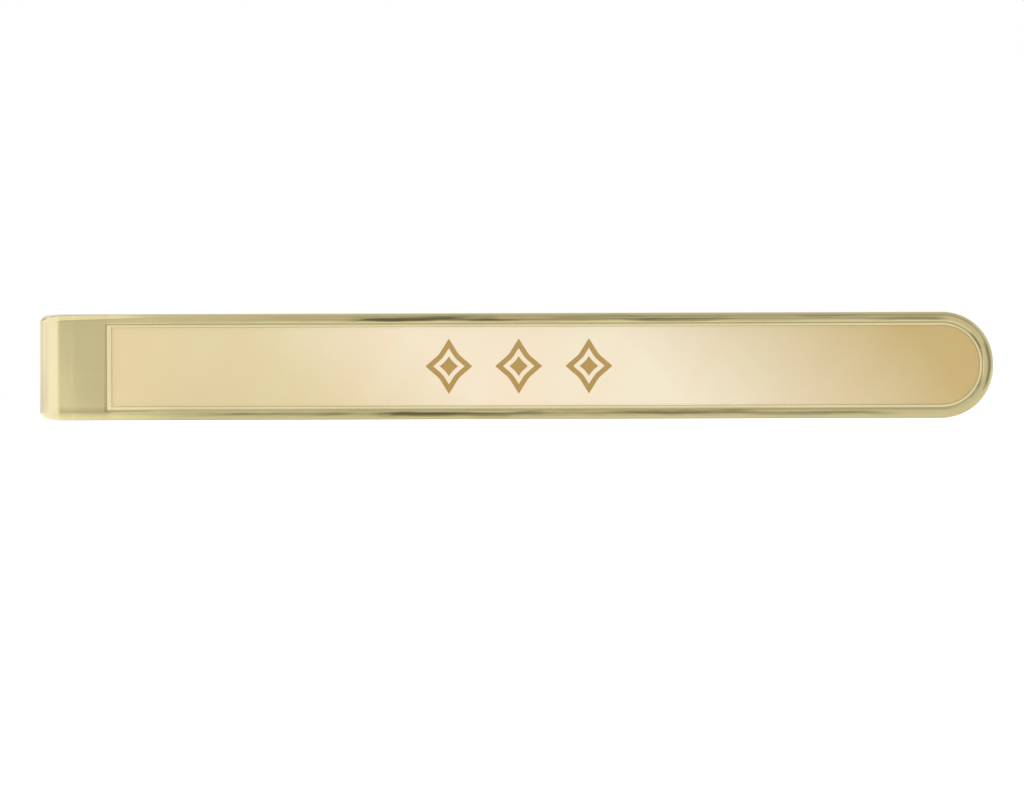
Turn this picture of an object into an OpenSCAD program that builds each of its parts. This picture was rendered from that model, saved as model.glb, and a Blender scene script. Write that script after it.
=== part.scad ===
// Hinged tie clip: a front bar with a rolled rim and a let-in face plate, folded back
// at the left end, with a sprung, toothed jaw riveted to a bracket on the fold.
// X runs along the bar, Y from the front to the back, Z across the bar's width.
// Inside the modules x = 0 is the middle of the bar, y = 0 the rim's crest and
// z = 0 the middle of the width. The pieces of the clasp are drawn about the hinge pin.

/* [Front bar] */
// Overall length of the bar
bar_length = 57.15; // [52:0.05:62]
// Overall width of the bar
bar_width = 6.35; // [6:0.05:7.5]
// Thickness of the strip, from the rim's crest to the back
strip_thickness = 1; // [0.95:0.05:1.1]
// Length of the short straight edge between the two round corners at the right end
end_flat = 0.25; // [0.05:0.05:1]
// Outside radius of the bend from the front into the end wall
front_bend_radius = 2.1; // [1.8:0.1:2.4]
// Outside radius of the bend from the end wall into the return
rear_bend_radius = 2.1; // [1.8:0.1:2.4]
// Straight length of the end wall between the two bends
end_wall = 2; // [1.9:0.1:2.6]
// Length of the plain pad, from the left end to the bead that closes the recess
pad_length = 4.1; // [3.6:0.1:4.6]
// How far each edge of the strip comes in as it tapers round the fold
return_inset = 0.375; // [0.25:0.025:0.5]
// How far the return runs on past the bracket
return_margin = 0.3; // [0.2:0.05:0.6]
// Corner radius at the return's free end
return_corner_radius = 0.8; // [0.4:0.1:1.2]

/* [Rim and face plate] */
// Width of the half-round rim
rim_width = 0.62; // [0.52:0.02:0.7]
// Width of the fine bead between the rim and the face plate
bead_width = 0.18; // [0.14:0.02:0.22]
// How far the bead's crest lies behind the rim's crest
bead_drop = 0.19; // [0.15:0.01:0.22]
// Width of the bead that closes the recess at the left
closing_bead_width = 0.3; // [0.24:0.02:0.4]
// Depth of the recess, from the rim's crest
recess_depth = 0.55; // [0.52:0.01:0.6]
// Thickness of the face plate
plate_thickness = 0.27; // [0.24:0.01:0.29]
// Gap all round the face plate
plate_clearance = 0.03; // [0.02:0.01:0.05]

/* [Hinge] */
// Distance from the bar's left end to the hinge pin
hinge_inset = 9.2; // [8.6:0.1:10]
// Width over the bracket's ears
bracket_width = 5; // [4.8:0.05:5.2]
// Sheet thickness of the bracket
bracket_thickness = 0.4; // [0.35:0.05:0.45]
// Length of the bracket's foot
bracket_length = 4.4; // [4:0.1:5]
// Metal left round the pin hole in each ear
ear_land = 0.6; // [0.5:0.05:0.7]
// Diameter of the hinge pin
pin_diameter = 1; // [0.9:0.05:1.1]
// Diameter of the pin's domed heads
pin_head_diameter = 1.7; // [1.5:0.05:1.9]
// Height of the pin's domed heads
pin_head_height = 0.3; // [0.2:0.05:0.35]

/* [Jaw] */
// Sheet thickness of the jaw
jaw_thickness = 0.4; // [0.35:0.05:0.45]
// Distance from the hinge pin to the tip of the toe
jaw_reach = 35; // [32:0.5:38]
// Length of the toe, which lies parallel to the bar
toe_length = 8; // [6.5:0.5:9.5]
// Depth of the channel at the toe
toe_depth = 1.3; // [1.1:0.05:1.5]
// Width of the toe
toe_width = 2.8; // [2.4:0.1:3.2]
// Length of the lead-in at the tip of the toe
lead_in_length = 1.4; // [1:0.1:1.8]
// How far the lead-in lifts off the bar
lead_in_rise = 0.55; // [0.4:0.05:0.7]
// Spacing of the teeth
tooth_pitch = 0.95; // [0.8:0.05:1.2]
// Depth of the notches between the teeth
tooth_depth = 0.5; // [0.4:0.05:0.6]
// Metal left round the pin hole in each cheek
cheek_land = 0.75; // [0.65:0.05:0.85]
// Width of the thumb lever
lever_width = 5.2; // [4.8:0.1:5.5]
// How far the lever's end rises away from the return
lever_rise = 1.5; // [1.2:0.1:1.8]
// How far the lever stops short of the bar's left end
lever_inset = 0.4; // [0.2:0.1:0.8]
// Length over which the lever narrows to the hinge
neck_length = 0.9; // [0.6:0.1:1.2]

/* [Spring] */
// Diameter of the spring wire
wire_diameter = 0.35; // [0.3:0.01:0.36]
// Whole turns of the coil, besides the part turn between the legs
coil_turns = 3; // [2:1:3]
// How far the legs reach from the hinge pin
leg_reach = 5.2; // [4.6:0.1:6]

/* [Clearances] */
// Radial gap between the pin and the jaw's holes
pin_clearance = 0.03; // [0.02:0.01:0.05]
// Gap between each cheek and its ear
cheek_side_gap = 0.1; // [0.06:0.01:0.12]
// Radial gap between the pin and the coil
coil_bore_gap = 0.14; // [0.12:0.01:0.18]
// Gap between the coil's ends and the cheeks
coil_end_gap = 0.1; // [0.06:0.01:0.12]
// Gap between the coil and the jaw's web
coil_web_gap = 0.15; // [0.1:0.01:0.2]
// Gap under the cheeks, over the bracket's foot
cheek_floor_gap = 0.15; // [0.1:0.01:0.2]
// Gap under the teeth when the jaw is shut
toe_gap = 0.05; // [0.03:0.01:0.08]
// Gap between the spring's legs and what they press on
leg_gap = 0.04; // [0.03:0.01:0.06]

/* [Hidden] */

$fn = 64;

// how far a cutting shape runs past what it cuts
overrun = 1;

frame_gold = "#D8C98F";
plate_gold = "#E6D3A2";
clasp_gold = "#C9B878";
spring_steel = "#B9BBBE";

// Front bar and recess
rim_radius = rim_width / 2;
bead_radius = bead_width / 2;
half_length = bar_length / 2;
half_width = bar_width / 2;
end_radius = (bar_width - end_flat) / 2;
end_centre_x = half_length - end_radius;
bend_start_x = -half_length + front_bend_radius;
rear_start_x = -half_length + rear_bend_radius;
pad_end_x = -half_length + pad_length;
recess_start_x = pad_end_x + closing_bead_width;
border_width = rim_width + bead_width;
return_back_y = front_bend_radius + end_wall + rear_bend_radius;
return_width = bar_width - 2 * return_inset;

// Hinge, from the pin outwards
pin_radius = pin_diameter / 2;
coil_radius = pin_radius + coil_bore_gap + wire_diameter / 2;
web_inside = coil_radius + wire_diameter / 2 + coil_web_gap;
web_outside = web_inside + jaw_thickness;
cheek_radius = pin_radius + cheek_land;
ear_radius = pin_radius + ear_land;
pin_height = cheek_radius + cheek_floor_gap;
pin_x = -half_length + hinge_inset;
pin_y = return_back_y + bracket_thickness + pin_height;
return_end_x = pin_x + bracket_length / 2 + return_margin;

// Across the width, from the ears inwards
ear_inside = bracket_width / 2 - bracket_thickness;
cheek_outside = ear_inside - cheek_side_gap;
cheek_inside = cheek_outside - jaw_thickness;
coil_half_length = cheek_inside - coil_end_gap - wire_diameter / 2;

// Jaw, about the pin
bar_back = -(pin_y - strip_thickness);
tooth_line = bar_back + toe_gap;
toe_back = tooth_line + toe_depth;
knee = jaw_reach - toe_length;
lead_in = jaw_reach - lead_in_length;
lever_tip = -(hinge_inset - lever_inset);
lever_back = web_outside + lever_rise;
neck_end = -(bracket_length / 2 + cheek_side_gap);
neck_start = neck_end - neck_length;
shoulder = cheek_radius;
flange_drop = bracket_length / 2 + return_margin + cheek_floor_gap;
lever_slope = atan(lever_rise / -lever_tip);
heel_bend_radius = 4 * cheek_radius;
shoulder_bend_radius = 4 * cheek_radius;
knee_bend_radius = toe_length;
lead_in_bend_radius = lead_in_length;
bend_steps = 6;

overall_depth = pin_y + lever_back;

// Points of an arc about a centre, from one angle to another
function arc(centre, radius, from, to, steps) =
    [for (i = [0:steps]) let (a = from + (to - from) * i / steps)
        centre + radius * [cos(a), sin(a)]];

function unit(v) = v / norm(v);

// A corner between two straight runs, rounded with points on an arc that meets both
function rounded_corner(before, corner, after, radius, steps) =
    let (
        u = unit(before - corner),
        v = unit(after - corner),
        half = acos(u * v) / 2,
        centre = corner + unit(u + v) * radius / sin(half),
        first = corner + u * radius / tan(half) - centre,
        last = corner + v * radius / tan(half) - centre,
        start = atan2(first[1], first[0]),
        turn = atan2(first[0] * last[1] - first[1] * last[0], first * last)
    )
    arc(centre, radius, start, start + turn, steps);

// A path moved sideways, to its right, by a distance
function beside(path, distance) =
    [for (i = [0:len(path) - 1])
        let (
            ahead = path[min(i + 1, len(path) - 1)] - path[max(i - 1, 0)],
            side = unit([ahead[1], -ahead[0]])
        )
        path[i] + side * distance];

// Half of the strip's section where it is plain: depth from the face, then width
module plain_half() {
    square([strip_thickness, half_width - rim_radius]);
    translate([rim_radius, 0]) square([strip_thickness - rim_radius, half_width]);
    translate([rim_radius, half_width - rim_radius]) circle(rim_radius);
}

// The strip's section from a line within it out to the edge: rim, bead and recess
module rimmed_side(reach) {
    bead_centre = reach - rim_width - bead_radius;
    bead_depth = bead_drop + bead_radius;
    translate([recess_depth, 0]) square([strip_thickness - recess_depth, reach]);
    translate([rim_radius, reach - rim_width])
        square([strip_thickness - rim_radius, rim_width]);
    translate([rim_radius, reach - rim_radius]) circle(rim_radius);
    translate([bead_depth, bead_centre - bead_radius])
        square([strip_thickness - bead_depth, bead_width]);
    translate([bead_depth, bead_centre]) circle(bead_radius);
}

module both_halves() {
    children();
    mirror([0, 1]) children();
}

// A section, drawn as depth and width, run along X from one place to another
module along_bar(from, to) {
    translate([from, 0, 0]) rotate([90, 0, 90]) linear_extrude(to - from) children();
}

// A section turned a quarter round a bend, its face on the outside
module bend(radius, start) {
    rotate([0, 0, start]) rotate_extrude(angle = 90)
        translate([radius, 0]) mirror([1, 0]) children();
}

// The strip's width against its depth behind the face: it narrows round the fold
module taper() {
    along_bar(-half_length - overrun, half_length + overrun)
        polygon([
            [-overrun, -half_width - overrun], [strip_thickness, -half_width - overrun],
            [strip_thickness, -half_width], [return_back_y, -return_width / 2],
            [return_back_y + overrun, -return_width / 2],
            [return_back_y + overrun, return_width / 2], [return_back_y, return_width / 2],
            [strip_thickness, half_width], [strip_thickness, half_width + overrun],
            [-overrun, half_width + overrun]
        ]);
}

// The return seen from the back, with rounded corners at its free end
module return_outline() {
    corner = return_width / 2 - return_corner_radius;
    translate([rear_start_x, -return_width / 2])
        square([return_end_x - return_corner_radius - rear_start_x, return_width]);
    translate([rear_start_x, -corner])
        square([return_end_x - rear_start_x, 2 * corner]);
    for (side = [-1, 1])
        translate([return_end_x - return_corner_radius, side * corner])
            circle(return_corner_radius);
}

module rounded_end() {
    for (side = [0, 1]) mirror([0, 0, side])
        translate([end_centre_x, 0, end_flat / 2]) rotate([-90, -90, 0])
            rotate_extrude(angle = 90) rotate([0, 0, 90]) mirror([0, 1])
                rimmed_side(end_radius);
    translate([end_centre_x, 0, 0]) rotate([0, 0, 90]) mirror([0, 1, 0])
        linear_extrude(end_flat, center = true) rimmed_side(end_radius);
}

// The bead that closes the recess, running from rim to rim beside the pad
module closing_bead() {
    radius = closing_bead_width / 2;
    depth = bead_drop + radius;
    span = bar_width - rim_width;
    translate([pad_end_x, depth, -span / 2])
        cube([closing_bead_width, recess_depth - depth, span]);
    translate([pad_end_x + radius, depth, 0]) cylinder(r = radius, h = span, center = true);
}

// The fold's outer face seen from above, filled, moved into the strip by an inset
module fold_outline(inset, end) {
    rear_start_y = front_bend_radius + end_wall;
    translate([bend_start_x, front_bend_radius]) circle(front_bend_radius - inset);
    translate([rear_start_x, rear_start_y]) circle(rear_bend_radius - inset);
    translate([-half_length + inset, front_bend_radius])
        square([end + half_length - inset, end_wall]);
    translate([bend_start_x, inset]) square([end - bend_start_x, front_bend_radius - inset]);
    translate([rear_start_x, rear_start_y])
        square([end - rear_start_x, rear_bend_radius - inset]);
}

// The middle of the strip's thickness in one piece, which all its stretches share
module core() {
    layer = (strip_thickness - recess_depth) / 3;
    end = return_end_x - return_corner_radius;
    linear_extrude(return_width - 2 * return_corner_radius, center = true) {
        difference() {
            fold_outline(strip_thickness - 2 * layer, end);
            fold_outline(strip_thickness - layer, end + overrun);
        }
        translate([bend_start_x, strip_thickness - 2 * layer])
            square([end_centre_x + rim_radius - bend_start_x, layer]);
    }
}

module fold() {
    intersection() {
        union() {
            translate([bend_start_x, front_bend_radius, 0])
                bend(front_bend_radius, 180) both_halves() plain_half();
            translate([-half_length, front_bend_radius, 0]) rotate([0, 0, 90]) mirror([0, 1, 0])
                along_bar(0, end_wall) both_halves() plain_half();
            translate([rear_start_x, front_bend_radius + end_wall, 0])
                bend(rear_bend_radius, 90) both_halves() plain_half();
        }
        taper();
    }
    translate([0, return_back_y, 0]) rotate([90, 0, 0])
        linear_extrude(strip_thickness) return_outline();
}

module front_bar() {
    color(frame_gold) {
        along_bar(pad_end_x, end_centre_x) both_halves() rimmed_side(half_width);
        rounded_end();
        closing_bead();
        along_bar(bend_start_x, pad_end_x) both_halves() plain_half();
        fold();
        core();
    }
}

module face_plate() {
    margin = border_width + plate_clearance;
    corner = end_radius - margin;
    start = recess_start_x + plate_clearance;
    width = bar_width - 2 * margin;
    color(plate_gold) translate([0, recess_depth, 0]) rotate([90, 0, 0])
        linear_extrude(plate_thickness) {
            translate([start, -width / 2]) square([end_centre_x - start, width]);
            translate([start, -end_flat / 2])
                square([half_length - margin - start, end_flat]);
            for (side = [-1, 1]) translate([end_centre_x, side * end_flat / 2])
                circle(corner);
        }
}

// What follows is drawn with the hinge pin at the origin
module about_pin() {
    translate([pin_x, pin_y, 0]) children();
}

module hinge_bracket() {
    ear = [
        [-bracket_length / 2, -pin_height], [bracket_length / 2, -pin_height],
        [ear_radius, 0], [-ear_radius, 0]
    ];
    color(clasp_gold) about_pin() difference() {
        union() {
            translate([-bracket_length / 2, -pin_height - bracket_thickness, -bracket_width / 2])
                cube([bracket_length, bracket_thickness, bracket_width]);
            for (side = [-1, 1])
                translate([0, 0, side * (bracket_width - bracket_thickness) / 2])
                    linear_extrude(bracket_thickness, center = true) {
                        polygon(ear);
                        circle(ear_radius);
                    }
        }
        cylinder(r = pin_radius, h = bracket_width + overrun, center = true);
    }
}

module pin_head() {
    dome_radius = (pow(pin_head_diameter / 2, 2) + pow(pin_head_height, 2))
        / (2 * pin_head_height);
    translate([0, 0, bracket_width / 2]) rotate_extrude() intersection() {
        translate([0, pin_head_height - dome_radius]) circle(dome_radius);
        square([pin_head_diameter / 2, pin_head_height]);
    }
}

module hinge_pin() {
    color(clasp_gold) about_pin() {
        cylinder(r = pin_radius, h = bracket_width, center = true);
        pin_head();
        mirror([0, 0, 1]) pin_head();
    }
}

// The back of the jaw seen from the side, from the lever's tip to the toe's tip
jaw_back = concat(
    [[lever_tip, lever_back]],
    rounded_corner([lever_tip, lever_back], [0, web_outside],
        [shoulder, web_outside], heel_bend_radius, bend_steps),
    rounded_corner([0, web_outside], [shoulder, web_outside],
        [knee, toe_back], shoulder_bend_radius, bend_steps),
    rounded_corner([shoulder, web_outside], [knee, toe_back],
        [lead_in, toe_back], knee_bend_radius, bend_steps),
    rounded_corner([knee, toe_back], [lead_in, toe_back],
        [jaw_reach, toe_back + lead_in_rise], lead_in_bend_radius, bend_steps),
    [[jaw_reach, toe_back + lead_in_rise]]
);
jaw_inside = beside(jaw_back, jaw_thickness);

function lever_inside_at(x) =
    web_outside + lever_rise * x / lever_tip - jaw_thickness / cos(lever_slope);

// The edge of the flanges, from the toe's tip back to the lever's tip
flange_edge = concat(
    [[jaw_reach, tooth_line + lead_in_rise], [lead_in, tooth_line], [knee, tooth_line],
        [flange_drop, -cheek_radius]],
    arc([0, 0], cheek_radius, -90, -180, bend_steps),
    [[-cheek_radius, lever_inside_at(-cheek_radius)], jaw_inside[0]]
);

module jaw_plan(inset) {
    hinge_half = cheek_outside - inset;
    toe_half = toe_width / 2 - inset;
    polygon([
        [neck_end, -hinge_half], [shoulder, -hinge_half], [knee, -toe_half],
        [lead_in, -toe_half], [lead_in, toe_half], [knee, toe_half],
        [shoulder, hinge_half], [neck_end, hinge_half]
    ]);
}

module jaw_outline() {
    lever_half = lever_width / 2;
    toe_half = toe_width / 2;
    jaw_plan(0);
    translate([jaw_reach - toe_half, 0]) circle(toe_half);
    translate([lever_tip + lever_half, 0]) circle(lever_half);
    polygon([
        [lever_tip + lever_half, -lever_half], [neck_start, -lever_half],
        [neck_end, -cheek_outside], [neck_end, cheek_outside],
        [neck_start, lever_half], [lever_tip + lever_half, lever_half]
    ]);
}

// The hollow of the channel seen from the back, open at the toe
module channel_outline() {
    jaw_plan(jaw_thickness);
    translate([lead_in, -toe_width / 2 + jaw_thickness])
        square([lead_in_length + overrun, toe_width - 2 * jaw_thickness]);
}

module through_depth() {
    rotate([90, 0, 0]) linear_extrude(2 * overall_depth, center = true) children();
}

module through_width() {
    linear_extrude(bar_width, center = true) children();
}

module tooth_notches() {
    count = floor((lead_in - knee) / tooth_pitch);
    for (i = [0:count - 1])
        translate([lead_in - (i + 1) * tooth_pitch, tooth_line])
            polygon([[0, -toe_gap], [tooth_pitch, -toe_gap], [tooth_pitch / 2, tooth_depth]]);
}

module jaw_arm() {
    color(clasp_gold) about_pin() difference() {
        intersection() {
            through_width() polygon(concat(jaw_back, flange_edge));
            through_depth() jaw_outline();
        }
        intersection() {
            through_width() polygon(concat(
                [[neck_end, lever_inside_at(neck_end)]],
                [for (p = jaw_inside) if (p[0] > neck_end) p],
                [[jaw_reach, bar_back - overrun], [neck_end, bar_back - overrun]]
            ));
            through_depth() channel_outline();
        }
        through_width() tooth_notches();
        cylinder(r = pin_radius + pin_clearance, h = bar_width, center = true);
    }
}

// Route of the spring wire: one leg on the return, the coil, one leg on the lever
rings_per_turn = 8;
wire_sides = 6;

leg_on_return = [-leg_reach, -pin_height - bracket_thickness + leg_gap + wire_diameter / 2];
leg_on_lever = [-leg_reach, lever_inside_at(-leg_reach) - leg_gap - wire_diameter / 2];

// Angle at which a straight leg leaves the coil
function tangent_angle(tip, side) =
    atan2(tip[1], tip[0]) + side * acos(coil_radius / norm(tip));

coil_start = tangent_angle(leg_on_return, 1);
coil_end = tangent_angle(leg_on_lever, -1) + 360 * (coil_turns + (coil_start < 0 ? 0 : 1));
coil_rings = ceil((coil_end - coil_start) / 360 * rings_per_turn);

wire_route = concat(
    [[leg_on_return[0], leg_on_return[1], -coil_half_length]],
    [for (i = [0:coil_rings])
        let (
            share = i / coil_rings,
            angle = coil_start + (coil_end - coil_start) * share
        )
        [coil_radius * cos(angle), coil_radius * sin(angle),
            coil_half_length * (2 * share - 1)]],
    [[leg_on_lever[0], leg_on_lever[1], coil_half_length]]
);

// A tube of even thickness along a route, as one closed polyhedron. Each ring stands
// square to the route and is set out from the hinge's axis, so the tube never twists.
module swept_tube(route, radius, sides) {
    last = len(route) - 1;
    points = [for (i = [0:last])
        let (
            ahead = unit(route[min(i + 1, last)] - route[max(i - 1, 0)]),
            across = unit(cross(ahead, [0, 0, 1])),
            up = cross(across, ahead)
        )
        for (k = [0:sides - 1])
            let (a = 360 * k / sides)
            route[i] + radius * (cos(a) * across + sin(a) * up)];
    walls = [for (i = [0:last - 1]) for (k = [0:sides - 1])
        let (
            a = i * sides + k,
            b = i * sides + (k + 1) % sides
        )
        for (face = [[a, b, b + sides], [a, b + sides, a + sides]]) face];
    ends = concat(
        [for (k = [1:sides - 2]) [0, k + 1, k]],
        [for (k = [1:sides - 2]) [last * sides, last * sides + k, last * sides + k + 1]]
    );
    polyhedron(points, concat(walls, ends));
}

// Least gap between turns, from points of the route at least half a turn apart
least_gap = min([for (i = [0:len(wire_route) - 1])
    for (j = [i + rings_per_turn / 2:1:len(wire_route) - 1])
        norm(wire_route[i] - wire_route[j]) - wire_diameter]);
echo(least_gap_between_turns = least_gap);

module torsion_spring() {
    color(spring_steel) about_pin()
        swept_tube(wire_route, wire_diameter / 2, wire_sides);
}

// The clip stands on its long edge, with the middle of its box over the origin
module placed() {
    translate([0, -overall_depth / 2, half_width]) children();
}

placed() front_bar();
placed() face_plate();
placed() hinge_bracket();
placed() hinge_pin();
placed() torsion_spring();
placed() jaw_arm();
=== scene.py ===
"""Hinged tie clip in pale gold: a rimmed bar with a satin plate, and a sprung jaw behind it.

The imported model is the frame. Pieces are modelled in millimetres: the bar and its plate
about the middle of the bar, with the rim's crest at y = 0, and the clasp about its pin.
They are then set into the frame, which is in metres.
"""
import math

import bmesh
import bpy
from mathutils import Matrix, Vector


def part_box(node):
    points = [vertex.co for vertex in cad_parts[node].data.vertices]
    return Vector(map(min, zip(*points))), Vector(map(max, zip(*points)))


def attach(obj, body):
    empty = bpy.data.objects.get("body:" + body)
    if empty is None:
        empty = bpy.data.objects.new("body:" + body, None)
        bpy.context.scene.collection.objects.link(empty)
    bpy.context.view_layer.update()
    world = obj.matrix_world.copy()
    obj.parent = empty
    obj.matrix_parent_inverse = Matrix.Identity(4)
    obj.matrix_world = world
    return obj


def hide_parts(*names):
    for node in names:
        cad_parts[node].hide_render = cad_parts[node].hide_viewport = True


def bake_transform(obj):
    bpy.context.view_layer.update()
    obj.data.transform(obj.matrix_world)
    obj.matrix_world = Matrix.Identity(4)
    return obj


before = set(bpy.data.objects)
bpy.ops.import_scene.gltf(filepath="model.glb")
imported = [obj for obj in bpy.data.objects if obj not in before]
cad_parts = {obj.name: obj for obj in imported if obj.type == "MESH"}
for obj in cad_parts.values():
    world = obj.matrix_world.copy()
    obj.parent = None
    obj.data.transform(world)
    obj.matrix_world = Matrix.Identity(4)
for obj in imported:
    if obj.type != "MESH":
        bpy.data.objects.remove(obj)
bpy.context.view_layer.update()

MM = 0.001


def node_corners(node):
    """The lowest and highest corners of a node of the frame, in millimetres."""
    return tuple(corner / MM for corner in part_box(node))


BAR_LOW, BAR_HIGH = node_corners("front_bar")
PIN_LOW, PIN_HIGH = node_corners("hinge_pin")
HALF_LENGTH = (BAR_HIGH.x - BAR_LOW.x) / 2
HALF_WIDTH = (BAR_HIGH.z - BAR_LOW.z) / 2
FOLD_DEPTH = BAR_HIGH.y - BAR_LOW.y

# Where the two modelling origins lie in the frame
BAR_ORIGIN = Vector((0, BAR_LOW.y, HALF_WIDTH))
PIN_ORIGIN = (PIN_LOW + PIN_HIGH) / 2


# Camera: straight at the front, a little below the middle of the bar

PHOTO_WIDTH = 1024
SENSOR_WIDTH = 36
PIXELS_PER_MM = 16.72
CAMERA_DISTANCE = 500
CAMERA_X = -0.21
CAMERA_DROP = 1.73
CAMERA_ROLL = 0.18
NEAREST_SEEN = 10
FARTHEST_SEEN = 20_000


def add_camera():
    place = BAR_ORIGIN + Vector((CAMERA_X, -CAMERA_DISTANCE, -CAMERA_DROP))
    aim = (math.radians(90), math.radians(CAMERA_ROLL), 0)
    bpy.ops.object.camera_add(location=place * MM, rotation=aim)
    camera = bpy.context.object
    camera.name = "front_camera"
    camera.data.sensor_width = SENSOR_WIDTH
    camera.data.lens = PIXELS_PER_MM * CAMERA_DISTANCE * SENSOR_WIDTH / PHOTO_WIDTH
    camera.data.clip_start = NEAREST_SEEN * MM
    camera.data.clip_end = FARTHEST_SEEN * MM
    bpy.context.scene.camera = camera


# Materials

FRAME_GOLD = (0.56, 0.49, 0.26)
# Pale gold painted on the bead as its highlight
BEAD_HIGHLIGHT_GOLD = (0.74, 0.65, 0.39)
# Lighter gold painted as highlights on the top rim's inner side and along the fold's crease
RIM_HIGHLIGHT = (0.66, 0.58, 0.325)
# Dark gold painted as reflections on the rim's crest and as shade on the pad
PAINTED_SHADE_AND_REFLECTION = (0.13, 0.11, 0.05)
# Grey that darkens the pad as painted shade
PAD_PAINTED_SHADE = (0.92, 0.92, 0.92)
# Paler gold painted on the fold's turn as the tone of its highlight
FOLD_HIGHLIGHT_GOLD = (0.575, 0.50, 0.315)
CLASP_GOLD = (0.62, 0.53, 0.29)
CLASP_SHADE = (0.56, 0.47, 0.25)
# Plate gold with its sheen painted in, from left to right
PLATE_SHEEN_LEFT = (0.715, 0.59, 0.35)
PLATE_SHEEN_NEAR_LEFT = (0.77, 0.65, 0.395)
PLATE_SHEEN_MIDDLE = (0.925, 0.815, 0.63)
PLATE_SHEEN_RIGHT = (0.625, 0.47, 0.21)
ENGRAVED_OCHRE = (0.505, 0.315, 0.078)
ENGRAVED_SHADE = (0.445, 0.275, 0.066)
SPRING_STEEL = (0.62, 0.62, 0.61)
SPRING_SHADE = (0.42, 0.42, 0.42)

# Directions from the bar: to its right end, to the back and up
RIGHTWARD = (1, 0, 0)
BACKWARD = (0, 1, 0)
UPWARD = (0, 0, 1)


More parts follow.
